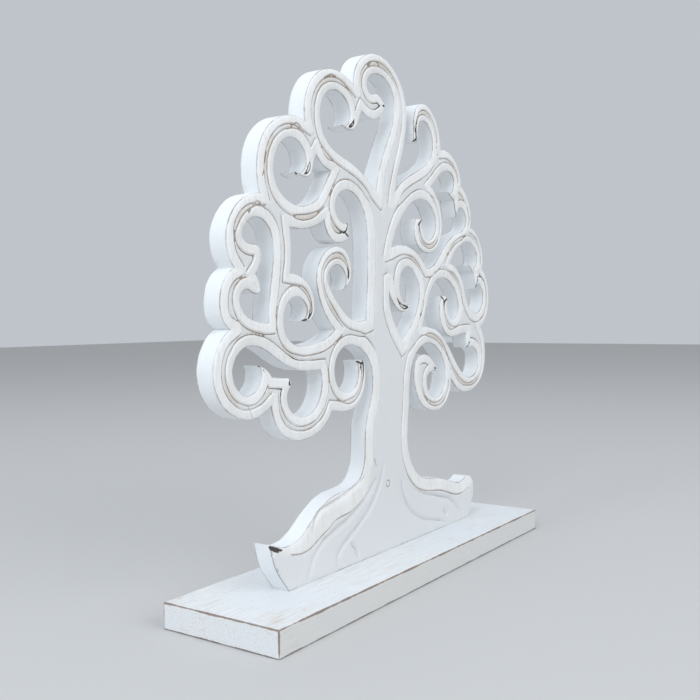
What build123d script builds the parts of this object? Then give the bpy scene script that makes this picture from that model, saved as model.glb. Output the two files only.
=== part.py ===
from build123d import *
import os

# Tree of life: a fret-sawn and carved board standing across the middle of a plinth board.
# +X runs along the plinth, -Y is the carved front, +Z is up, and the origin is
# the middle of the plinth's underside.

# Driving dimensions, in millimetres
base_length = 400
base_width = 100
base_thickness = 18.5
base_edge_round = 1.2
panel_thickness = 16

# Wood screws, driven up through the plinth into the roots
screw_count = 4
screw_spacing = 70
screw_length = 40
shank_diameter = 4.5
head_diameter = 9
head_height = 3
head_recess = 0.5
point_height = 5
recess_width = 4.2
recess_depth = 1.8

# The foot of the panel rests on the plinth, so the saw lines below start at this height
foot = base_thickness

# Every saw line is a list of runs of (x, z) points. A run is a smooth curve, or a straight
# line where it has two points, and starts where the run before it ends, at a corner.
tree_outline = [
    # sawn end of the left root, leaning over its toe
    [(-136, foot), (-144, 28.5), (-150, 37), (-153.5, 46), (-155.5, 55)],
    # top of the left root, up the trunk and over into the lowest scroll
    [(-149, 52.5), (-142, 50.5), (-132, 50.5), (-123, 52.5), (-110, 61), (-95, 70.5), (-83, 75.3),
     (-70, 77), (-58, 78), (-48, 81), (-41, 89), (-38, 99), (-37.5, 111), (-36, 124), (-31, 138),
     (-26.5, 151), (-25.8, 161), (-30, 174), (-41, 183.5), (-55, 187.5), (-67, 185.5), (-75.5, 178),
     (-78, 167.5), (-74, 157.5), (-66, 152.3), (-56, 152.3), (-48.5, 158), (-45.7, 166.5), (-48, 175)],
    [(-39.5, 175.5)],
    [(-37, 167), (-37.5, 157), (-43, 145.5), (-53, 139), (-67, 137.7), (-82, 139.5)],
    # left-hand lobes, from the lowest round to the top
    [(-91, 130), (-104, 124), (-118, 122), (-133, 124.5), (-144, 131.7), (-150, 141), (-152, 149)],
    [(-161, 144.3), (-173, 142), (-187, 144.8), (-200, 153), (-207.5, 166), (-208, 180),
     (-202, 193), (-192, 201.5)],
    [(-198.5, 207), (-201.5, 217.5), (-199.3, 229), (-187.5, 241)],
    [(-193.3, 250), (-195, 261), (-191, 273.5), (-182, 284), (-171, 289.7), (-161.5, 291.5)],
    [(-164, 303), (-163, 318), (-156.5, 332), (-145, 342.5), (-129, 348.5), (-111, 347.5)],
    [(-111.5, 360), (-106.5, 373.5), (-96, 384.8), (-82, 390.7), (-66, 391.3), (-49, 386)],
    # over the top scroll and down the right edge of its stem to the fork
    [(-48, 396), (-41, 406.5), (-29, 413.8), (-15, 416.8), (0, 414.5), (14, 407), (24, 395.5),
     (29, 381), (27.5, 362), (21, 342), (14, 326), (10.5, 312)],
    # up inside the scroll to the right of the stem
    [(18, 318.5), (30, 325.5), (45, 332.3), (60, 339.5), (71, 349), (74, 360), (69, 372.5),
     (59.5, 377.3), (50, 373.5), (46.8, 365), (47, 357)],
    [(41.5, 357.5)],
    # right-hand lobes, from the top round to the lowest
    [(41.2, 372), (45, 385.5), (57, 392), (71, 388.5), (82, 378), (87, 366), (89, 357.5)],
    [(100, 358), (112, 354), (123, 343.5), (127.5, 329.5)],
    [(138, 322.5), (145.5, 310), (146, 293)],
    [(158, 288), (169, 276), (171, 254.5)],
    [(180, 245.5), (185, 226), (180, 209), (167.5, 198)],
    [(175, 185.5), (176.5, 168), (170, 151.5), (157, 141.7), (142, 137.8), (128, 138.3),
     (115.5, 144), (105.5, 152)],
    [(101.5, 138.3), (92, 129), (78, 125.2), (63, 127.3), (49.5, 135.3), (40.8, 149), (39, 163),
     (44.5, 173.5), (56, 176.3), (69, 172), (79, 160.5)],
    # inside the lowest right scroll, down the trunk and out along the right root
    [(69, 160.3), (61.5, 156), (62, 146.5), (70, 138.7), (81, 137.3), (91, 144), (95.3, 157),
     (91, 171), (80, 181), (65, 185.8), (50, 182.5), (38, 172), (32, 156), (30.5, 138), (28, 118),
     (27.7, 102), (32.5, 87), (43, 74.5), (58, 67.8), (80, 64.5), (98, 60), (113, 55.3), (125, 54.5),
     (133, 57)],
    [(141, 57), (148.5, 50), (149.5, 39.5), (143.5, 29), (140, foot)],
]

# Each opening is sawn round the rolled tips of the scrolls that reach into it
upper_left_opening = [
    [(-64, 353), (-57, 355.5), (-54.5, 363), (-59.5, 372), (-70, 376.7), (-81, 374.7), (-90, 366.5),
     (-93, 355), (-89.5, 343), (-80, 334), (-65, 328.8), (-47, 323.5), (-31, 316.5), (-18.5, 309.5)],
    [(-15.5, 321), (-8, 338), (1, 354.5), (8.5, 370), (9.5, 385.5), (0.5, 398), (-14, 401.3),
     (-26.5, 397.5), (-31, 389), (-26, 384), (-18, 385.5), (-10.5, 383.3), (-4, 378.5)],
    [(-9.5, 370.5), (-21, 364.8), (-31, 365.3), (-38.5, 368)],
    [(-43.5, 359), (-50, 351.7), (-57, 350.5), (-64, 353)],
]
left_upper_lobe_opening = [
    [(-122, 310.5), (-114.5, 311.5), (-110.3, 318.5), (-114, 328.5), (-125, 333.5), (-137, 329.5),
     (-145, 318.5), (-146.5, 305.5), (-140, 294.5), (-127, 288), (-111, 288), (-97, 294.5),
     (-87.5, 306), (-80.5, 316.5)],
    [(-90, 319.5), (-98, 326)],
    [(-102.5, 317), (-108, 309), (-115, 308.3), (-122, 310.5)],
]
left_middle_lobes_opening = [
    [(-167, 237.5), (-163, 232), (-163, 225.5), (-168.5, 224.8), (-175, 227.3), (-182, 223.5),
     (-180.5, 214.5), (-171.5, 208), (-154, 205.5)],
    [(-152.8, 220), (-149.3, 240), (-148, 256), (-152.5, 269.5), (-165, 275.3), (-175.5, 270.5),
     (-179, 261), (-174, 257.8), (-165, 257), (-160.8, 251)],
    [(-162.5, 244), (-167, 237.5)],
]
lower_left_opening = [
    [(-164, 177), (-162.3, 169), (-168, 160.5), (-178, 158), (-187, 164), (-190.5, 174.5),
     (-185, 185.5), (-173, 190.3), (-159, 187.7), (-143, 179.5), (-128, 173.5), (-112, 171),
     (-95.5, 170.5)],
    [(-94, 160), (-98, 148), (-108.5, 139.7), (-121, 138.9), (-131.5, 144.5), (-135, 153),
     (-130, 161.5)],
    [(-131, 166.5)],
    [(-151, 168.5)],
    [(-157, 174), (-164, 177)],
]
middle_left_opening = [
    # up the lower edge of the round scroll beside the trunk and in to its tip
    [(-35, 207), (-47, 205.7), (-60, 209.5), (-71, 218), (-83, 230), (-86, 239), (-79, 246.3),
     (-69.5, 247.3), (-62.7, 241), (-65, 229.5)],
    # round the outside of that scroll
    [(-56.5, 238.5), (-56, 251), (-65, 260.3), (-78, 261.2), (-91, 254.3), (-98.7, 241),
     (-97.3, 226.5), (-88.5, 211), (-77, 199.5)],
    # under the small scroll and in to its tip
    [(-91, 192.5), (-108, 189.3), (-123, 189.3), (-134.5, 196), (-138, 208), (-132, 220),
     (-121, 223.3), (-111.3, 216.5), (-116, 206.5)],
    [(-105.5, 209), (-102.3, 220), (-108.5, 232), (-120, 238.3), (-130, 240)],
    [(-128.7, 255), (-130, 271.5)],
    [(-110, 272), (-99, 275), (-89, 280)],
    # round the hooked scroll above and down the trunk
    [(-84.5, 269.8), (-75, 264.5), (-65, 265.3), (-57.5, 269)],
    [(-58.5, 280.5)],
    [(-68.5, 280.8), (-75.3, 289), (-72, 299.3), (-60, 304.7), (-46, 301.3), (-36, 290),
     (-32, 271), (-31.5, 250), (-33, 228), (-35, 207)],
]
upper_right_opening = [
    [(4, 266), (13, 283), (27, 298), (43, 307.7), (58, 310), (72, 304), (79, 291), (74, 279.5),
     (64, 276), (56.5, 281.5), (54.5, 293.5)],
    [(44, 292.5)],
    [(41, 282), (46, 270.5), (58.5, 264.8), (73, 265.5), (84.5, 274), (89.3, 288), (86.5, 305),
     (79, 316), (70, 322.5)],
    [(80, 330.3), (92, 338), (104, 340), (113, 334.5), (112, 325), (101, 322)],
    [(107, 318), (113.5, 315.5)],
    [(115.5, 307), (118.5, 300.5)],
    [(122.5, 308), (131, 309), (137, 301), (134, 291.5), (117, 284.5), (99, 275), (85, 262.5),
     (74, 254), (61.5, 251)],
    [(52, 259), (40, 265.3), (27, 268.2), (4, 266)],
]
heart_opening = [
    [(33, 219.5), (25, 220.3), (18, 226), (16.3, 237), (21, 247.5), (31.5, 250.7), (42.5, 245),
     (49, 233), (47, 219.5), (38, 205), (20, 189.5)],
    [(10.5, 200), (3, 212), (0, 229)],
    [(6, 220.5), (16, 214), (26, 213.3), (33, 219.5)],
]
lower_right_opening = [
    [(54, 200.5), (59, 213.5), (66, 227.5), (76, 239), (91, 243.6), (107, 239), (118.5, 227),
     (119.5, 212.5), (110, 206.3), (101.5, 212), (101.5, 226.5)],
    [(88.5, 227.5)],
    [(85, 215), (89.5, 200.5), (101, 191.3), (117, 191.3), (136, 193)],
    [(136.5, 185.5), (139.5, 179.5)],
    [(150, 179.3), (160, 173), (160.5, 160), (149, 151.8), (135, 153), (118.5, 164), (103, 180),
     (86, 193.5), (70, 199), (54, 200.5)],
]
right_lobes_opening = [
    [(146, 257), (153.5, 255.3), (160, 262), (157, 272), (146, 279), (131, 276.8), (116, 268.8),
     (105, 257.3)],
    [(119, 251.7), (130.5, 240), (136.5, 226), (146, 215), (159, 212), (170.5, 219.5),
     (172, 233), (165.5, 240), (158.5, 235.5)],
    [(155.8, 243), (153.5, 250)],
    [(149, 252.7), (146, 257)],
]
openings = [
    upper_left_opening, left_upper_lobe_opening, left_middle_lobes_opening, lower_left_opening,
    middle_left_opening, upper_right_opening, heart_opening, lower_right_opening,
    right_lobes_opening,
]


def saw_line(runs, closed_by_line=False):
    """The face inside a closed saw line, drawn on the middle plane of the panel."""
    corner = runs[0][0]
    start = corner
    edges = []
    for run in runs:
        points = [start] + [point for point in run if point != start]
        edges.append(Line(*points) if len(points) == 2 else Spline(*points))
        start = points[-1]
    if closed_by_line:
        edges.append(Line(start, corner))
    return Plane.XZ * make_face(edges)


def screw_places():
    """Where the screws go in, evenly spaced along the middle of the plinth."""
    first = -(screw_count - 1) / 2 * screw_spacing
    return [(first + step * screw_spacing, 0) for step in range(screw_count)]


def screw_body():
    """One screw standing on its head: countersunk head, shank and point, on the Z axis."""
    outline = Polyline(
        (0, head_recess),
        (head_diameter / 2, head_recess),
        (shank_diameter / 2, head_recess + head_height),
        (shank_diameter / 2, head_recess + screw_length - point_height),
        (0, head_recess + screw_length),
        close=True,
    )
    return revolve(Plane.XZ * make_face(outline), Axis.Z)


def screw_room():
    """The space that a screw fills, with the counterbore under its head."""
    mouth = Pos(0, 0, head_recess / 2) * Cylinder(head_diameter / 2, head_recess)
    return screw_body() + mouth


def driver_recess():
    """Cross-shaped recess in the head of a screw."""
    arm = Box(recess_width, recess_width / 4, recess_depth)
    cross = arm + Rot(0, 0, 90) * arm
    return Pos(0, 0, head_recess + recess_depth / 2) * cross


def make_base_board():
    """Plinth board with its worn edges and the screw holes from beneath."""
    board = Pos(0, 0, base_thickness / 2) * Box(base_length, base_width, base_thickness)
    board = fillet(board.edges(), base_edge_round)
    for x, y in screw_places():
        board -= Pos(x, y, 0) * screw_room()
    return board


def make_tree_panel():
    """Fret-sawn tree: roots, trunk and scrolled crown in one board, with its screw holes."""
    sheet = saw_line(tree_outline, closed_by_line=True)
    for opening in openings:
        sheet -= saw_line(opening)
    panel = extrude(sheet, panel_thickness / 2, both=True)
    for x, y in screw_places():
        panel -= Pos(x, y, 0) * screw_room()
    return panel


def make_base_screws():
    """The screws that hold the panel down on the plinth, all alike."""
    screw = screw_body() - driver_recess()
    return Compound(children=[Pos(x, y, 0) * screw for x, y in screw_places()])


os.makedirs("parts", exist_ok=True)
export_step(make_base_board(), "parts/base_board.step")
export_step(make_tree_panel(), "parts/tree_panel.step")
export_step(make_base_screws(), "parts/base_screws.step")
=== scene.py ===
import bpy
import numpy as np
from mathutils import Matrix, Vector
from mathutils.geometry import delaunay_2d_cdt


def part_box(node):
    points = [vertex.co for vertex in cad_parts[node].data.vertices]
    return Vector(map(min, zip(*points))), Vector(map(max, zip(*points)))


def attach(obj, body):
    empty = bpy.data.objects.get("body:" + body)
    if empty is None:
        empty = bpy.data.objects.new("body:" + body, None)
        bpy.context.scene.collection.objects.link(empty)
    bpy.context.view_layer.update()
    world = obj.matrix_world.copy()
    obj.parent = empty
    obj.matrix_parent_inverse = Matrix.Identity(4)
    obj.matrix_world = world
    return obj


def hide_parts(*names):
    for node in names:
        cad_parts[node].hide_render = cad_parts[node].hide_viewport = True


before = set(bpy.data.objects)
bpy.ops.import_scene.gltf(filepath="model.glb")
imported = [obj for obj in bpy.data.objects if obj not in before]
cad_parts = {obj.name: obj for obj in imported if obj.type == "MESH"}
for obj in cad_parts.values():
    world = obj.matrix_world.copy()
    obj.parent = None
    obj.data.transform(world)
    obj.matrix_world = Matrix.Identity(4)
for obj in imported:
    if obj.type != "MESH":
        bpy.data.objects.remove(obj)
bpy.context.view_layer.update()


# ---------------------------------------------------------------------------------------------
# Plinth board. A planed softwood board, whitewashed and rubbed back along its edges.
# It lies flat on the table, and the tree board stands along its middle.
# ---------------------------------------------------------------------------------------------

def linear(hex_colour):
    """sRGB hex to linear RGBA: c / 12.92 below 0.04045, else ((c + 0.055) / 1.055) ** 2.4."""
    c = np.array([int(hex_colour[i:i + 2], 16) for i in (1, 3, 5)]) / 255
    c = np.where(c <= 0.04045, c / 12.92, ((c + 0.055) / 1.055) ** 2.4)
    return (*c.tolist(), 1.0)


def node(tree, kind, inputs, output=0, **settings):
    """Adds a node with its settings, sets or links its inputs by name or number, and returns an output.

    Map Range takes its value at 0, turns the span from 1 to 2 into 0 to 1 and holds it there, or 0 to
    input 4. Mix turns colour 6 into colour 7 as 0 goes from 0 to 1.
    """
    made = tree.nodes.new(kind)
    for name, value in settings.items():
        setattr(made, name, value)
    for name, value in inputs.items():
        if isinstance(value, bpy.types.NodeSocket):
            tree.links.new(value, made.inputs[name])
        else:
            made.inputs[name].default_value = value
    return made.outputs[output]


def blank_material(name, roughness, ior=1.5, metallic=0.0):
    """A Principled material with its uniform values set on the shader's own sockets."""
    material = bpy.data.materials.new(name)
    material.use_nodes = True
    tree = material.node_tree
    shader = tree.nodes["Principled BSDF"]
    shader.inputs["Roughness"].default_value = roughness
    shader.inputs["IOR"].default_value = ior
    shader.inputs["Metallic"].default_value = metallic
    return material, tree, shader


base_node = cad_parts["base_board"]
base_low, base_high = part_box("base_board")

# Whitewash on pine: chalky and dull, with the grain showing as faint lines along the board, tan
# where the wash is rubbed thin and dark brown on the bare arrises.
wash, tree, shader = blank_material("whitewashed_pine", 0.72)
place = node(tree, "ShaderNodeTexCoord", {}, "Object")
split = node(tree, "ShaderNodeSeparateXYZ", {"Vector": place}).node
gaps = []
for axis, (low, high) in enumerate(zip(base_low, base_high)):
    off = node(tree, "ShaderNodeMath", {0: split.outputs[axis], 1: (low + high) / 2}, operation="SUBTRACT")
    off = node(tree, "ShaderNodeMath", {0: off}, operation="ABSOLUTE")
    gaps.append(node(tree, "ShaderNodeMath", {0: (high - low) / 2, 1: off}, operation="SUBTRACT"))
# On a face one gap is nil, so the middle one of the three is the distance to the nearest arris
least_xy = node(tree, "ShaderNodeMath", {0: gaps[0], 1: gaps[1]}, operation="MINIMUM")
most_xy = node(tree, "ShaderNodeMath", {0: gaps[0], 1: gaps[1]}, operation="MAXIMUM")
to_edge = node(tree, "ShaderNodeMath", {0: most_xy, 1: gaps[2]}, operation="MINIMUM")
to_edge = node(tree, "ShaderNodeMath", {0: least_xy, 1: to_edge}, operation="MAXIMUM")

along_grain = node(tree, "ShaderNodeMapping", {"Vector": place, "Scale": (0.05, 1, 1)})
grain = node(tree, "ShaderNodeTexNoise",
             {"Vector": along_grain, "Scale": 700, "Detail": 4, "Roughness": 0.6}, "Fac")
# Clouds of noise with clumps about so many mm across
clouds = [node(tree, "ShaderNodeTexNoise", {"Vector": place, "Scale": 1000 / size_mm, "Detail": detail,
                                            "Roughness": rough}, "Fac")
          for size_mm, detail, rough in ((14, 4, 0.65), (60, 3, 0.5), (1.6, 2, 0.5), (38, 4, 0.7))]
wander, cloudy, speck, rub = clouds

# Bare arrises wander in from the edge, and both ends are rubbed more than the rest
widest_wear, rubbed_from, rubbed_to = 0.0023, 0.034, 0.006
edge_wear = node(tree, "ShaderNodeMath", {0: wander, 1: widest_wear}, operation="MULTIPLY")
edge_wear = node(tree, "ShaderNodeMath", {0: edge_wear, 1: to_edge}, operation="SUBTRACT")
near_end = node(tree, "ShaderNodeMapRange", {0: gaps[0], 1: rubbed_from, 2: rubbed_to})
rub = node(tree, "ShaderNodeMath", {0: near_end, 1: 0.1, 2: rub}, operation="MULTIPLY_ADD")
rub = node(tree, "ShaderNodeMapRange", {0: rub, 1: 0.62, 2: 0.70, 4: 0.6})
on_grain = node(tree, "ShaderNodeMapRange", {0: grain, 1: 0.45, 2: 0.62})
paint = linear("#E9EBEC")
for amount, colour in (
        (node(tree, "ShaderNodeMapRange", {0: grain, 1: 0.42, 2: 0.70}), "#DAD8D3"),
        (node(tree, "ShaderNodeMapRange", {0: cloudy, 1: 0.45, 2: 0.75}), "#E3E6EA"),
        (node(tree, "ShaderNodeMapRange", {0: speck, 1: 0.66, 2: 0.74}), "#C9C3B8"),
        (node(tree, "ShaderNodeMath", {0: rub, 1: on_grain}, operation="MULTIPLY"), "#CDB9A2"),
        (node(tree, "ShaderNodeMapRange", {0: gaps[1], 1: 0.0010, 2: 0.0004, 4: 0.7}), "#D6D4CF"),
        (node(tree, "ShaderNodeMapRange", {0: edge_wear, 1: 0.0, 2: 0.0004, 4: 0.9}), "#7F6C5D")):
    paint = node(tree, "ShaderNodeMix", {0: amount, 6: paint, 7: linear(colour)}, 2, data_type="RGBA")
tree.links.new(paint, shader.inputs["Base Color"])
height = node(tree, "ShaderNodeMath", {0: speck, 1: 0.4, 2: grain}, operation="MULTIPLY_ADD")
relief = node(tree, "ShaderNodeBump", {"Height": height, "Strength": 0.25, "Distance": 0.0004})
tree.links.new(relief, shader.inputs["Normal"])
base_node.data.materials.clear()
base_node.data.materials.append(wash)


# ---------------------------------------------------------------------------------------------
# Tree board. Roots, trunk and crown are one board, fret-sawn right through, then carved on its
# front: the saw edges are eased, a V-tool vein follows each edge, and the hollow between veins
# is pared flat. Whitewashed, then sanded so that brown wood shows in the veins and on arrises.
# ---------------------------------------------------------------------------------------------

panel_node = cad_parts["tree_panel"]
panel_low, panel_high = (np.array(corner) * 1000 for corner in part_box("tree_panel"))
front_y, back_y, foot_z = panel_low[1], panel_high[1], panel_low[2]


def read_front(mesh):
    """The CAD front face as (x, z) points in mm and triangles, from the triangles lying at the lowest y."""
    xyz = np.empty(len(mesh.vertices) * 3, np.float32)
    mesh.vertices.foreach_get("co", xyz)
    xyz = xyz.reshape(-1, 3) * 1000
    mesh.calc_loop_triangles()
    faces = np.empty(len(mesh.loop_triangles) * 3, np.int32)
    mesh.loop_triangles.foreach_get("vertices", faces)
    faces = faces.reshape(-1, 3)
    faces = faces[(xyz[faces][:, :, 1] < front_y + 0.01).all(axis=1)]
    keys, same = np.unique(np.round(xyz[:, [0, 2]] * 1000).astype(int), axis=0, return_inverse=True)
    return keys / 1000, same.ravel()[faces]


def turned(v):
    """v turned a quarter turn to its left, which is into the wood for a direction along a saw line."""
    return np.stack([-v[:, 1], v[:, 0]], axis=1)


def unit(v):
    """v divided by its length."""
    return v / np.maximum(np.linalg.norm(v, axis=1, keepdims=True), 1e-9)


def sample_saw_lines(points, faces, step):
    """Points every step mm along each saw line.

    A saw line is the edges that only one triangle has. Between two of its points the line is the
    cubic Hermite curve whose tangent at a point is the mean of the directions on both sides, each
    weighted by the other side's length; at a corner it is the direction on this side alone.
    Returns positions, the normals into the wood before and after each point, and the next point.
    """
    edges = np.concatenate([faces[:, [0, 1]], faces[:, [1, 2]], faces[:, [2, 0]]])
    code = edges[:, 0] * len(points) + edges[:, 1]
    edges = edges[~np.isin(code, edges[:, 1] * len(points) + edges[:, 0])]
    a, b = edges.T
    starts_at = np.full(len(points), -1)
    starts_at[a] = np.arange(len(a))
    ends_at = np.full(len(points), -1)
    ends_at[b] = np.arange(len(a))
    along = points[b] - points[a]
    length = np.linalg.norm(along, axis=1, keepdims=True)
    along = along / length
    before, after = ends_at[a], starts_at[b]

    def tangent(one, two):
        """Direction where edge one meets edge two, and whether they meet smoothly."""
        smooth = (along[one] * along[two]).sum(axis=1, keepdims=True) > np.cos(np.radians(30))
        mean = unit(along[one] * length[two] + along[two] * length[one])
        return mean, smooth

    mean, smooth = tangent(before, np.arange(len(a)))
    t0 = np.where(smooth, mean, along) * length
    mean, smooth_end = tangent(np.arange(len(a)), after)
    t1 = np.where(smooth_end, mean, along) * length
    count = np.maximum(np.ceil(length[:, 0] / step), 1).astype(int)
    first = np.cumsum(count) - count
    edge = np.repeat(np.arange(len(a)), count)
    s = ((np.arange(count.sum()) - first[edge]) / count[edge])[:, None]
    p0, p1 = points[a][edge], points[b][edge]
    m0, m1 = t0[edge], t1[edge]
    place = ((2 * s ** 3 - 3 * s ** 2 + 1) * p0 + (s ** 3 - 2 * s ** 2 + s) * m0
             + (3 * s ** 2 - 2 * s ** 3) * p1 + (s ** 3 - s ** 2) * m1)
    slope = ((6 * s ** 2 - 6 * s) * (p0 - p1) + (3 * s ** 2 - 4 * s + 1) * m0 + (3 * s ** 2 - 2 * s) * m1)
    normal_after = turned(unit(slope))
    normal_before = normal_after.copy()
    corner = first[~smooth[:, 0]]
    normal_before[corner] = turned(unit(t1[before[edge[corner]]]))
    following = np.arange(len(place)) + 1
    last = first + count - 1
    following[last] = first[after]
    return place, normal_before, normal_after, following


saw_points, saw_faces = read_front(panel_node.data)
rim, rim_before, rim_after, rim_next = sample_saw_lines(saw_points, saw_faces, step=1.0)
rim = np.clip(rim, panel_low[[0, 2]], panel_high[[0, 2]])
rim_prev = np.empty_like(rim_next)
rim_prev[rim_next] = np.arange(len(rim))

# The foot line and the sawn root ends are left plain: no vein follows them
root_end_x, root_end_top = 133.5, 62.0
plain = (rim[:, 1] < foot_z + 0.4) | ((np.abs(rim[:, 0]) > root_end_x) & (rim[:, 1] < root_end_top))

pitch, margin = 1.0, 36
grid_low = np.array([panel_low[0] - margin, panel_low[2] - margin])
grid_size = np.ceil((panel_high[[0, 2]] + margin - grid_low) / pitch).astype(int)
grid_x, grid_z = np.meshgrid(*(grid_low[i] + pitch * np.arange(grid_size[i]) for i in (0, 1)), indexing="ij")


def cell(p):
    """Grid cell of each point."""
    ij = np.round((p - grid_low) / pitch).astype(int)
    return tuple(np.clip(ij, 0, grid_size - 1).T)


def flood(samples, chosen):
    """For each grid node the nearest of the chosen samples.

    Each node keeps the nearest of its own sample and those of eight nodes a jump away, while the
    jump halves from 256 nodes to 1.
    """
    best = np.full(grid_x.shape, chosen[0])
    best[cell(samples[chosen])] = chosen
    for jump in (256, 128, 64, 32, 16, 8, 4, 2, 1, 1):
        for move in ((0, 1), (0, -1), (1, 0), (-1, 0), (1, 1), (1, -1), (-1, 1), (-1, -1)):
            other = np.roll(best, (jump * move[0], jump * move[1]), axis=(0, 1))
            far = (samples[best, 0] - grid_x) ** 2 + (samples[best, 1] - grid_z) ** 2
            near = (samples[other, 0] - grid_x) ** 2 + (samples[other, 1] - grid_z) ** 2
            best = np.where(near < far, other, best)
    return best


def depth(p, nearest):
    """Distance of p into the wood from the nearest saw line, in mm, less than 0 outside.

    Beside a straight stretch it is the distance to that line. Beyond a corner it is the larger of
    the distances to the two lines, so a line at a set depth turns the corner in a sharp mitre, but
    not less than 0.62 of the distance to the corner itself.
    """
    k = nearest[cell(p)]
    for _ in range(3):
        for step in (rim_next, rim_prev):
            closer = ((rim[step[k]] - p) ** 2).sum(axis=1) < ((rim[k] - p) ** 2).sum(axis=1)
            k = np.where(closer, step[k], k)
    away = p - rim[k]
    n_in = turned(unit(rim[k] - rim[rim_prev[k]]))
    n_out = turned(unit(rim[rim_next[k]] - rim[k]))
    d_in, d_out = (away * n_in).sum(axis=1), (away * n_out).sum(axis=1)
    on_in = (away * turned(n_in)).sum(axis=1) > 0
    on_out = (away * turned(n_out)).sum(axis=1) < 0
    both = np.where(d_in + d_out > 0, np.maximum(d_in, d_out), np.minimum(d_in, d_out))
    mitred = np.where(both > 0, np.maximum(both, 0.62 * np.linalg.norm(away, axis=1)), both)
    nearer = np.where(np.abs(d_in) < np.abs(d_out), d_in, d_out)
    return np.where(on_in & on_out, nearer, np.where(on_in, d_in, np.where(on_out, d_out, mitred)))


near_any = flood(rim, np.arange(len(rim)))
near_carved = flood(rim, np.flatnonzero(~plain))
nodes = np.stack([grid_x.ravel(), grid_z.ravel()], axis=1)
wood = depth(nodes, near_any).reshape(grid_x.shape)
carved = np.where(wood > 0, depth(nodes, near_carved).reshape(grid_x.shape), 0)


def spread(field, kernel):
    """The field convolved with the kernel, by multiplying their Fourier transforms."""
    kernel = np.fft.ifftshift(kernel)
    return np.fft.irfft2(np.fft.rfft2(field) * np.fft.rfft2(kernel), s=field.shape)


def half_widths():
    """Half the width of the wood at each grid node.

    It is the radius of the largest disc that fits between the saw lines and covers the node, then
    softened by a Gaussian of 2.5 mm over the wood alone.
    """
    u, v = np.meshgrid(*(np.arange(n) - n // 2 for n in grid_x.shape), indexing="ij")
    away = np.hypot(u, v) * pitch
    width = np.zeros(grid_x.shape)
    for r in np.concatenate([np.arange(2, 12, 0.5), np.arange(12, 36, 2)]):
        covered = spread((carved >= r).astype(float), (away <= r + 0.4).astype(float)) > 0.5
        width[covered & (wood > 0)] = r + 0.3
    soft = np.exp(-away ** 2 / (2 * 2.5 ** 2))
    inside = (wood > 0).astype(float)
    return spread(width * inside, soft) / np.maximum(spread(inside, soft), 1e-3)


half_width = half_widths()


def between_nodes(field, p):
    """The field at p, by straight-line interpolation between the four grid nodes around it."""
    g = np.clip((p - grid_low) / pitch, 0, grid_size - 1.001)
    i = g.astype(int)
    f = g - i
    x, z = i.T
    return ((field[x, z] * (1 - f[:, 0]) + field[x + 1, z] * f[:, 0]) * (1 - f[:, 1])
            + (field[x, z + 1] * (1 - f[:, 0]) + field[x + 1, z + 1] * f[:, 0]) * f[:, 1])


def vein_depth(p):
    """How far from the saw line the vein runs.

    It is 1.8 mm less than half the stroke's width, and past a half width of 9 mm only a quarter of
    the rest is added, between 2.4 and 11 mm in all. On the left root it starts nearer the edge at
    the toe and swings deeper along the top, by up to 8 mm. It is never less than 2 mm.
    """
    w = between_nodes(half_width, p)
    e = np.clip(np.where(w < 9, w - 1.8, 7.2 + 0.25 * (w - 9)), 2.4, 11)
    swing = np.interp(p[:, 0], [-145, -130, -112, -90, -60, -38, -26], [-9, -3, 3, 8, 7, 3, 0])
    return np.maximum(e + np.where(p[:, 1] < 95, swing, 0), 2.0)


def find_rays():
    """Rays from the saw line into the wood, as start, direction and start sample.

    Each rim point sends one along its normal. A corner that points into the wood opens a fan: the
    rays run to evenly spaced places on the two mitred lines, and a corner the other way sends one
    along its mitre. After t mm every ray is at depth t.
    """
    dot = (rim_before * rim_after).sum(axis=1)
    turn = np.arctan2(rim_before[:, 0] * rim_after[:, 1] - rim_before[:, 1] * rim_after[:, 0], dot)
    mitre = (rim_before + rim_after) / np.maximum(1 + dot, 0.35)[:, None]
    start, way, source = [rim], [mitre], [np.arange(len(rim))]
    k = np.flatnonzero(turn < -np.radians(12))
    reach = np.tan(np.minimum(-turn[k], np.radians(110)) / 2)[:, None]
    for share in np.arange(0, 1, 1 / 9):
        start += [rim[k], rim[k]]
        way += [rim_before[k] - share * reach * turned(rim_before[k]),
                rim_after[k] + share * reach * turned(rim_after[k])]
        source += [k, k]
    return np.concatenate(start), np.concatenate(way), np.concatenate(source)


ray_start, ray_way, ray_source = find_rays()


def reach_of_rays(nearest):
    """How far each ray goes before another saw line is nearer, by halving the bracket 14 times."""
    low, high = np.zeros(len(ray_start)), np.full(len(ray_start), 46.0)
    for _ in range(14):
        t = (low + high) / 2
        good = depth(ray_start + t[:, None] * ray_way, nearest) >= t - 0.07 - 0.01 * t
        low, high = np.where(good, t, low), np.where(good, high, t)
    return low


ray_end = reach_of_rays(near_any)
carved_ray = ~plain[ray_source]
ray_middle = reach_of_rays(near_carved)
ray_vein = np.full(len(ray_start), 7.0)
for _ in range(4):
    ray_vein = vein_depth(ray_start + ray_vein[:, None] * ray_way)


def curve_through(knots, step=1.0):
    """Points every step mm along a Catmull-Rom curve, which leaves its end knots along the end chords."""
    knots = np.array(knots, float)
    padded = np.concatenate([[2 * knots[0] - knots[1]], knots, [2 * knots[-1] - knots[-2]]])
    p0, p1, p2, p3 = padded[:-3], padded[1:-2], padded[2:-1], padded[3:]
    count = np.maximum(np.ceil(np.linalg.norm(p2 - p1, axis=1) / step), 1).astype(int)
    piece = np.repeat(np.arange(len(count)), count)
    s = ((np.arange(count.sum()) - (np.cumsum(count) - count)[piece]) / count[piece])[:, None]
    a, b, c, d = p0[piece], p1[piece], p2[piece], p3[piece]
    body = 0.5 * (2 * b + (c - a) * s + (2 * a - 5 * b + 4 * c - d) * s ** 2
                  + (3 * b - a - 3 * c + d) * s ** 3)
    return np.concatenate([body, knots[-1:]])


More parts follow.
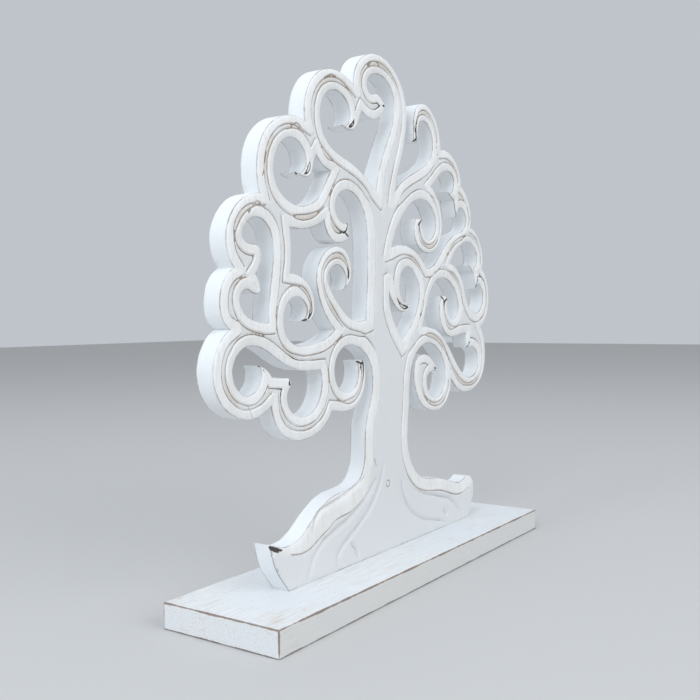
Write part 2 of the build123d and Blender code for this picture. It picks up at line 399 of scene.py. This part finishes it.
# Root folds: V-cuts that fan out from the trunk over both roots, x and z in mm
root_folds = [
    [(-40, 84), (-52, 78), (-68, 73.7), (-83, 70.8), (-96, 68), (-104, 62.4), (-109, 55)],
    [(-23, 81.5), (-33, 71), (-47.6, 61.8), (-63.7, 54.6), (-79, 50), (-94, 45), (-104.5, 38), (-110.7, 28.7),
     (-114, 20.6)],
    [(-12, 92), (-16, 77.7), (-23.6, 66.8), (-33.5, 56.6), (-43, 50.5), (-55, 43.8), (-68.5, 37), (-76, 30.5),
     (-79, 21.5)],
    [(15, 73), (19.3, 61), (28.5, 48), (42.4, 37.3), (60, 30.4), (84, 25), (98, 20)],
    [(34, 67), (40, 61.7), (54.3, 55), (78, 48.5), (103.6, 41), (120, 29), (128, 21)],
    [(89, 35), (97, 28)],
    [(-60, 36), (-52, 29), (-49, 22)],
]
folds = [curve_through(fold) for fold in root_folds]

# Finer knife cuts: peaks where two veins meet over a lobe, a tie from a vein to the edge under
# one, and a small round knot low on the trunk
knot = np.radians(np.arange(0, 361, 40))
knife_cuts = [
    [(-173, 277), (-165, 285.5), (-157, 281)],
    [(-131, 338), (-122, 344), (-113, 340)],
    [(-159, 303), (-156.5, 311), (-154.5, 320)],
    [(-176, 151), (-172, 143)],
    [(-30, 404), (-22, 410), (-13, 409)],
    [(-88, 383), (-79, 387), (-70, 386)],
    [(-25, 96), (-22.5, 90)],
    list(zip(-5 + 2.6 * np.cos(knot), 73 + 2.6 * np.sin(knot))),
]
cuts = [curve_through(cut, 0.7) for cut in knife_cuts]

# Stop cuts: at each curl tip a deep nick from the sharp corner in to the vein, and two at the left
# root's toe. Their near-black colour is partly dark-stained wood and partly painted shade in the nicks.
spin = np.arctan2(rim_before[:, 0] * rim_after[:, 1] - rim_before[:, 1] * rim_after[:, 0],
                  (rim_before * rim_after).sum(axis=1))
tips = np.flatnonzero((spin > np.radians(60)) & (rim[:, 1] > 100))
stops = [rim[k] + np.linspace(0.1, min(ray_vein[k], 0.8 * ray_end[k]), 9)[:, None] * ray_way[k]
         for k in tips]
stops += [curve_through(toe, 0.5) for toe in (
    [(-155, 53.6), (-149, 51.2), (-143, 48.6)], [(-154.6, 52.4), (-151, 50.2), (-147, 48.8)])]
seams = [curve_through([(-155, 52.5), (-152.6, 46), (-149, 37), (-143, 28.5), (-135.8, 19.4)]),
         curve_through([(4, 18.9), (98, 18.9)])]


def ribbon(line, offset):
    """The line moved sideways by offset mm along its own normal."""
    return line + offset * turned(unit(np.gradient(line, axis=0)))


def distance_to_lines(p, lines):
    """Distance from each point to the nearest point of any of the lines, and its share of the way along."""
    best, share = np.full(len(p), 99.0), np.zeros(len(p))
    for line in lines:
        low, high = line.min(axis=0) - 6, line.max(axis=0) + 6
        k = np.flatnonzero(((p > low) & (p < high)).all(axis=1))
        gap = np.linalg.norm(p[k][:, None] - line[None], axis=2)
        closest = gap.argmin(axis=1)
        gap = gap[np.arange(len(k)), closest]
        share[k] = np.where(gap < best[k], closest / (len(line) - 1), share[k])
        best[k] = np.minimum(best[k], gap)
    return best, share


# Each class of points is thinned to half a millimetre and kept off those before it
taken = np.zeros(np.ceil(grid_size * pitch / 0.5).astype(int) + 2, bool)


def thin(p):
    """The points of p whose half-millimetre cell is free, one for each cell, which they then take."""
    ij = np.round((p - grid_low) / 0.5).astype(int)
    p = p[~taken[tuple(ij.T)]]
    ij = np.round((p - grid_low) / 0.5).astype(int)
    _, first = np.unique(ij[:, 0] * 100000 + ij[:, 1], return_index=True)
    p, ij = p[first], ij[first]
    for dx in (-1, 0, 1):
        for dz in (-1, 0, 1):
            taken[tuple((ij + (dx, dz)).T)] = True
    return p


def row(t, wanted, reach):
    """The places t mm along the wanted rays, where the ray still reaches that far."""
    t = np.broadcast_to(t, len(ray_start))
    keep = wanted & (t < reach)
    return ray_start[keep] + t[keep, None] * ray_way[keep]


thin(rim)
everywhere = np.ones(len(ray_start), bool)
reach = np.minimum(ray_end, np.where(carved_ray, ray_middle, ray_end))
groove = 1.3
fold_width, nick = 2.6, 1.0
layers = [ribbon(line, 0) for line in stops]
layers += [row(0.6, everywhere, ray_end), row(ray_vein, carved_ray, reach)]
layers += [ribbon(line, 0) for line in folds + cuts]
layers += [row(ray_vein - groove, carved_ray, reach), row(ray_vein + groove, carved_ray, reach)]
layers += [ribbon(line, side * fold_width) for line in folds for side in (-1, -0.45, 0.45, 1)]
layers += [ribbon(line, side * nick) for line in cuts + stops for side in (-1, 1)]
layers += [row(reach, carved_ray & (reach < 14), reach + 1)]
layers += [row(1.2, everywhere, ray_end)]
for share in (0.3, 0.55, 0.8):
    layers.append(row(share * ray_vein, carved_ray & (share * ray_vein < ray_vein - groove - 0.7), reach))
fill_x, fill_z = np.meshgrid(np.arange(panel_low[0], panel_high[0], 3.0),
                             np.arange(panel_low[2], panel_high[2], 2.6), indexing="ij")
fill = np.stack([(fill_x + 1.5 * (np.arange(fill_x.shape[1]) % 2)).ravel(), fill_z.ravel()], axis=1)
layers.append(fill[(depth(fill, near_any) > 2) & (depth(fill, near_carved) > vein_depth(fill) + 2.5)])
inner = np.concatenate([thin(layer[depth(layer, near_any) > 0.25]) for layer in layers])


def triangles(points, edges):
    """Delaunay triangles of the points, with the edges kept whole."""
    found = delaunay_2d_cdt([Vector(p) for p in points.tolist()], edges.tolist(), [], 0, 1e-7)
    if len(found[0]) != len(points):
        print("points merged or added:", len(points), len(found[0]))
    return np.array(found[2], int)


front = np.concatenate([rim, inner])
front_faces = triangles(front, np.stack([np.arange(len(rim)), rim_next], axis=1))
front_faces = front_faces[depth(front[front_faces].mean(axis=1), near_any) > 0]


# How deep each cut goes into the face, in mm
arris_drop, arris_width, band_drop, ground_drop = 0.5, 1.2, 0.9, 0.35
vein_cut, fold_cut, knife_cut, stop_cut = 1.4, 2.2, 0.8, 1.5


def carving(p):
    """Depth of the carved front below the board's face, in mm, and the marks for its colours.

    The arris, and the band from it in to the vein, fall away to the edge as parabolas. Veins, knife
    cuts and stop cuts are V-cuts, and a root fold is a V-cut with hollow sides that fades out at
    its ends; where they meet, the deepest counts. The ground inside the veins is pared lower.
    """
    d, c = np.maximum(depth(p, near_any), 0), np.maximum(depth(p, near_carved), 0)
    d[:len(rim)] = 0
    c[:len(rim)] = np.where(plain, c[:len(rim)], 0)
    e = vein_depth(p)
    w = between_nodes(half_width, p)
    arris = arris_drop * (1 - np.minimum(d / arris_width, 1)) ** 2
    band = band_drop * (1 - np.minimum(c / e, 1)) ** 2
    vein = np.abs(c - e)
    fold, along = distance_to_lines(p, folds)
    cut, _ = distance_to_lines(p, cuts)
    stop, _ = distance_to_lines(p, stops)
    seam, _ = distance_to_lines(p, seams)
    tip = np.linalg.norm(p[:, None] - rim[tips][None], axis=2).min(axis=1)
    taper = np.minimum(1, 5 * along * (1 - along) + 0.1)
    deepest = np.maximum.reduce([
        vein_cut * np.maximum(1 - vein / groove, 0),
        fold_cut * taper * np.maximum(1 - fold / fold_width, 0) ** 1.2,
        knife_cut * np.maximum(1 - cut / nick, 0),
        stop_cut * np.maximum(1 - stop / nick, 0)])
    pared = np.clip((c - e) / groove, 0, 1)
    ridge = np.clip((c - e) / 0.9, 0, 1) * np.clip(3.4 - (w - e), 0, 1)
    # Near-black mark along the stop cuts, the seams and the veins close to curl tips: partly dark-stained
    # wood, partly painted shade in the nicks and grooves
    stain_and_shade = np.minimum.reduce([stop - 0.2, seam + 0.25, vein - 0.65 + 0.065 * tip, np.full(len(p), 5.0)])
    return arris + band + deepest + ground_drop * pared, {
        "vein_mm": np.minimum(np.minimum(vein, cut), 5), "fold_mm": np.minimum(fold, 5),
        "arris_mm": np.minimum(d, 9), "stain_and_shade_mm": stain_and_shade, "ridge": ridge, "ground": pared}


front_drop, front_marks = carving(front)


# The saw edge is square, with a light sanding of the back arris that fades out at sharp corners
sanding = 0.6
count = len(rim)
sharp = rim[(rim_before * rim_after).sum(axis=1) < 0.9]
to_corner = np.linalg.norm(rim[:, None] - sharp[None], axis=2).min(axis=1)
sanded = np.minimum(np.minimum(sanding, 0.3 * ray_end[:count]), 0.03 + 0.09 * to_corner)[:, None]
xz = [front, rim, rim, rim + sanded * ray_way[:count]]
y = [front_y + front_drop, np.full(count, (front_y + back_y) / 2), np.full(count, back_y - sanding),
     np.full(count, back_y)]
back_faces = triangles(xz[3], np.stack([np.arange(count), rim_next], axis=1))
back_faces = back_faces[depth(xz[3][back_faces].mean(axis=1), near_any) > 0]
starts = [0, len(front), len(front) + count, len(front) + 2 * count]
walls = []
for upper, lower in zip(starts[:-1], starts[1:]):
    i, j = np.arange(count), rim_next
    walls += [np.stack([upper + i, lower + i, lower + j], axis=1),
              np.stack([upper + i, lower + j, upper + j], axis=1)]
faces = np.concatenate([front_faces, *walls, starts[3] + back_faces[:, ::-1]])
xz, y = np.concatenate(xz), np.concatenate(y)
corners = np.stack([xz[:, 0], y, xz[:, 1]], axis=1) / 1000
marks = {name: np.concatenate([value, np.full(3 * count, 5.0 if name.endswith("_mm") else 0.0)])
         for name, value in front_marks.items()}
marks["arris_mm"][starts[1]:] = np.concatenate([np.full(count, 7.5), np.zeros(count), np.full(count, 9.0)])
# side is 1 on the saw walls and the front rim, which the material tints a cool white as painted cool daylight
marks["side"] = np.concatenate([np.zeros(len(front)), np.ones(2 * count), np.zeros(count)])
marks["side"][:count] = 1


def new_mesh(name, corners, faces, marks):
    """A mesh of triangles from whole arrays, with a named number at each corner for every mark."""
    mesh = bpy.data.meshes.new(name)
    mesh.vertices.add(len(corners))
    mesh.vertices.foreach_set("co", corners.astype(np.float32).ravel())
    mesh.loops.add(faces.size)
    mesh.loops.foreach_set("vertex_index", faces.astype(np.int32).ravel())
    mesh.polygons.add(len(faces))
    mesh.polygons.foreach_set("loop_start", (np.arange(len(faces)) * 3).astype(np.int32))
    mesh.update(calc_edges=True)
    for mark, value in marks.items():
        mesh.attributes.new(mark, "FLOAT", "POINT").data.foreach_set("value", value.astype(np.float32))
    mesh.polygons.foreach_set("use_smooth", np.ones(len(faces), bool))
    mesh.set_sharp_from_angle(angle=np.radians(38))
    thing = bpy.data.objects.new(name, mesh)
    bpy.context.scene.collection.objects.link(thing)
    return thing


tree_board = new_mesh("carved_tree", corners, faces, marks)
print("carved_tree:", len(corners), "points,", len(faces), "triangles")

# Whitewash over carved pine: bright and chalky on the eased bands and saw edges, where the cool white tint of
# the saw edges is painted light;
# greyer on the pared ground, partly a thinner wash and partly painted shade of the flat front; brown wood in
# the veins, tan wood on the ridge between two veins.
carved_wash, tree, shader = blank_material("whitewashed_carved_pine", 0.74)
place = node(tree, "ShaderNodeTexCoord", {}, "Object")
mark = {name: node(tree, "ShaderNodeAttribute", {}, "Fac", attribute_name=name) for name in marks}
along_grain = node(tree, "ShaderNodeMapping", {"Vector": place, "Scale": (1, 1, 0.06)})
grain = node(tree, "ShaderNodeTexNoise",
             {"Vector": along_grain, "Scale": 600, "Detail": 4, "Roughness": 0.6}, "Fac")
clouds = [node(tree, "ShaderNodeTexNoise", {"Vector": place, "Scale": 1000 / size_mm, "Detail": detail,
                                            "Roughness": rough}, "Fac")
          for size_mm, detail, rough in ((26, 4, 0.6), (5, 4, 0.7), (1.5, 2, 0.5))]
patches, flecks, speck = clouds

on_ridge = node(tree, "ShaderNodeMapRange", {0: patches, 1: 0.42, 2: 0.60, 4: 0.6})
coats = [
    (node(tree, "ShaderNodeMapRange", {0: patches, 1: 0.35, 2: 0.7}), "#E8E6E2"),
    (node(tree, "ShaderNodeMapRange", {0: grain, 1: 0.5, 2: 0.75}), "#E0DDD7"),
    # Pared ground greyer: partly a thinner wash, partly painted shade of the flat front faces
    (node(tree, "ShaderNodeMath", {0: mark["ground"], 1: 0.85}, operation="MULTIPLY"), "#DDDEDE"),
    # Saw walls and rim tinted cool white: painted light, the cool daylight that brightens the walls
    (node(tree, "ShaderNodeMath", {0: mark["side"], 1: 0.8}, operation="MULTIPLY"), "#EDF0F2"),
    (node(tree, "ShaderNodeMath", {0: mark["ridge"], 1: on_ridge}, operation="MULTIPLY"), "#D2C2AE")]
# Wear lines: each reaches so many mm plus so many more on the flecks, fades over the next two numbers
# in mm, and shows between the next two levels of the patches. The last, near-black line is dark-stained wood
# together with painted shade in the nicks and grooves at the curl tips, and shows everywhere.
for name, reach_mm, fleck_mm, faint, full, low, high, strength, colour in (
        ("vein_mm", 0.2, 0.7, 0.0, 0.4, 0.2, 0.5, 0.85, "#917F70"),
        ("fold_mm", 0.2, 0.7, 0.1, 0.7, 0.4, 0.6, 0.7, "#9D8B7A"),
        ("arris_mm", 0.0, 1.3, 0.0, 0.4, 0.3, 0.6, 0.75, "#857A70"),
        ("stain_and_shade_mm", 0.4, 0.8, 0.0, 0.4, -1.0, 0.0, 0.95, "#352D29")):
    edge = node(tree, "ShaderNodeMath", {0: flecks, 1: fleck_mm, 2: reach_mm}, operation="MULTIPLY_ADD")
    edge = node(tree, "ShaderNodeMath", {0: edge, 1: mark[name]}, operation="SUBTRACT")
    edge = node(tree, "ShaderNodeMapRange", {0: edge, 1: faint, 2: full, 4: strength})
    where = node(tree, "ShaderNodeMapRange", {0: patches, 1: low, 2: high})
    coats.append((node(tree, "ShaderNodeMath", {0: edge, 1: where}, operation="MULTIPLY"), colour))
paint = linear("#EFEFEE")
for amount, colour in coats:
    paint = node(tree, "ShaderNodeMix", {0: amount, 6: paint, 7: linear(colour)}, 2, data_type="RGBA")
tree.links.new(paint, shader.inputs["Base Color"])
height = node(tree, "ShaderNodeMath", {0: speck, 1: 0.5, 2: grain}, operation="MULTIPLY_ADD")
relief = node(tree, "ShaderNodeBump", {"Height": height, "Strength": 0.25, "Distance": 0.0004})
tree.links.new(relief, shader.inputs["Normal"])
tree_board.data.materials.append(carved_wash)
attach(tree_board, "root")
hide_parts("tree_panel")


# ---------------------------------------------------------------------------------------------
# Screws. Four zinc-plated countersunk wood screws, driven up through the plinth into the roots.
# Their heads are sunk just inside the plinth's underside.
# ---------------------------------------------------------------------------------------------

# Zinc plate: a cool bright metal, slightly satin, with the faint mottling of a passivated finish
zinc, tree, shader = blank_material("zinc_plated_steel", 0.34, metallic=1.0)
place = node(tree, "ShaderNodeTexCoord", {}, "Object")
mottle_mm = 2.5
mottle = node(tree, "ShaderNodeTexNoise",
              {"Vector": place, "Scale": 1000 / mottle_mm, "Detail": 3, "Roughness": 0.5}, "Fac")
plating = node(tree, "ShaderNodeMix",
               {0: mottle, 6: linear("#B9BBB8"), 7: linear("#A5A397")}, 2, data_type="RGBA")
tree.links.new(plating, shader.inputs["Base Color"])
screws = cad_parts["base_screws"]
screws.data.materials.clear()
screws.data.materials.append(zinc)


# ---------------------------------------------------------------------------------------------
# Studio. A pale floor under an even pale background, and soft light from upper left, front and above.
# ---------------------------------------------------------------------------------------------

floor = bpy.data.meshes.new("studio_floor")
floor.from_pydata([(-6, -6, 0), (6, -6, 0), (6, 6, 0), (-6, 6, 0)], [], [(0, 1, 2, 3)])
floor = bpy.data.objects.new("studio_floor", floor)
bpy.context.scene.collection.objects.link(floor)
plain_grey, tree, shader = blank_material("matt_studio_grey", 0.9)
shader.inputs["Base Color"].default_value = linear("#C9C8C6")
floor.data.materials.append(plain_grey)

world = bpy.data.worlds.new("studio_air")
world.use_nodes = True
world.node_tree.nodes["Background"].inputs["Color"].default_value = linear("#DDE3EA")
world.node_tree.nodes["Background"].inputs["Strength"].default_value = 0.72
bpy.context.scene.world = world
bpy.context.scene.view_settings.view_transform = "Standard"


def soft_light(name, place, aim, size, power, colour):
    """A square area light at place, turned to face aim."""
    lamp = bpy.data.lights.new(name, "AREA")
    lamp.size, lamp.energy, lamp.color = size, power, linear(colour)[:3]
    lamp = bpy.data.objects.new(name, lamp)
    lamp.location = place
    lamp.rotation_euler = (Vector(aim) - Vector(place)).to_track_quat("-Z", "Y").to_euler()
    bpy.context.scene.collection.objects.link(lamp)


soft_light("window_left", (-2.2, -0.3, 1.7), (0, 0, 0.2), 1.6, 35, "#F0F7FF")
soft_light("window_front", (-0.3, -2.4, 1.5), (0, 0, 0.2), 1.8, 27, "#F6FAFF")
soft_light("window_top", (0.2, 0.3, 2.4), (0, 0, 0.1), 2.0, 9, "#F0F6FF")

camera = bpy.data.cameras.new("camera")
camera.lens = 45.3
camera.clip_start = 0.01
camera = bpy.data.objects.new("camera", camera)
camera.location = (-0.6114, -0.3860, 0.2076)
yaw, pitch_down, roll = np.radians([55.60, 2.03, -0.54])
camera.rotation_mode = "XYZ"
camera.rotation_euler = (np.pi / 2 - pitch_down, 0, -yaw)
camera.rotation_euler.rotate_axis("Z", roll)
bpy.context.scene.collection.objects.link(camera)
bpy.context.scene.camera = camera
